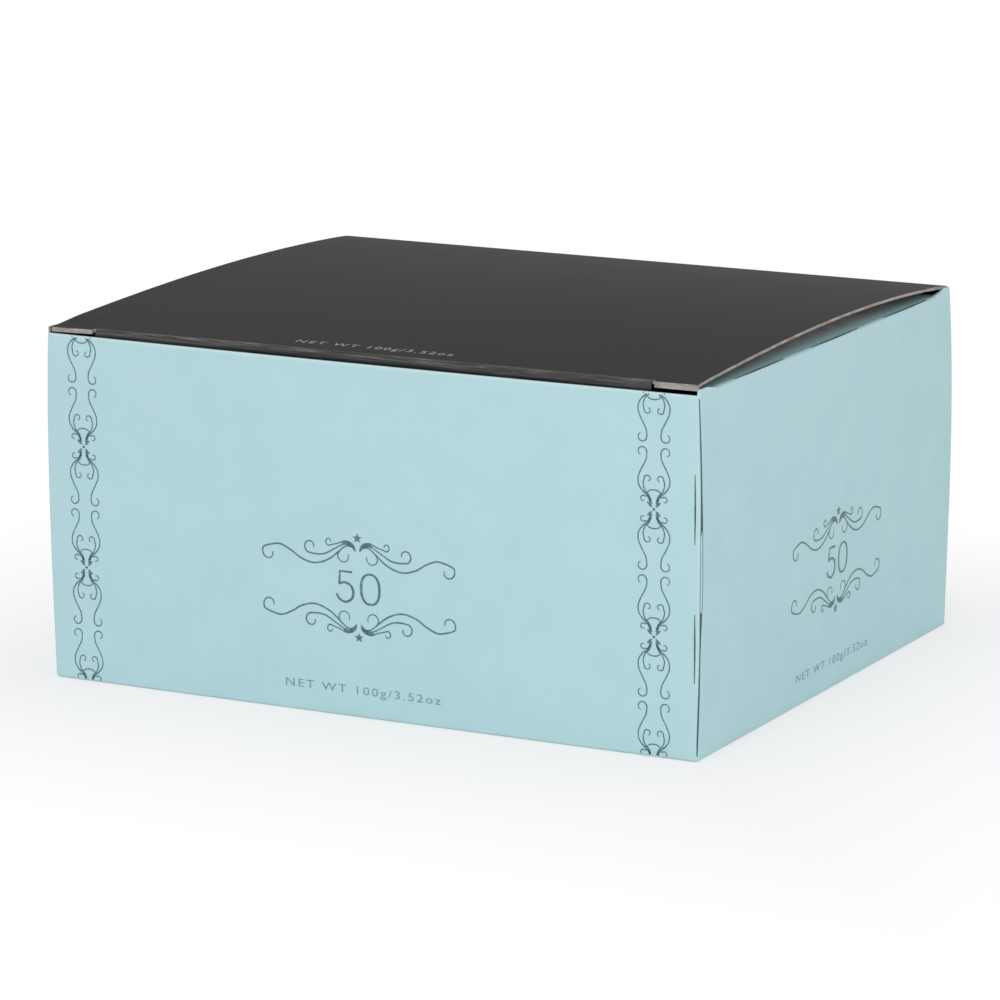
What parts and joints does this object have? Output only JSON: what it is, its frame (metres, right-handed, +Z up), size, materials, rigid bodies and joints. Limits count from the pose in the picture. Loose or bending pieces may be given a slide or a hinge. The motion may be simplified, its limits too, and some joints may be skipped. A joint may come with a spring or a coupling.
{
  "type": "tea box",
  "caption": "Shut tuck-top carton of wrapped tea bags: swollen blue board walls, an arched black lid tucked in at the front between lock slits, and side dust flaps",
  "frame": {"origin": "Centre of the box's footprint, on the plane it stands on: under the middle of its bounding box", "axes": "+X to the box's right as its front is faced, across the width; -Y out of the front panel, +Y to the lid's hinge at the back; +Z up"},
  "size_m": [0.1544, 0.13, 0.0794],
  "materials": {
    "printed_board": "satin aqueous-coated folding boxboard printed pale turquoise blue, with grey-blue line ornament",
    "lid_board": "the same coated board printed soft black, with pale raw cut edges and cracked print along its folds",
    "flap_board": "the same coated board printed black, the blue of the panels turning over its crease"
  },
  "bodies": {
    "root": {"carton": "printed_board", "lid": "lid_board", "dust_flap_right": "flap_board", "dust_flap_left": "flap_board"}
  },
  "joints": []
}
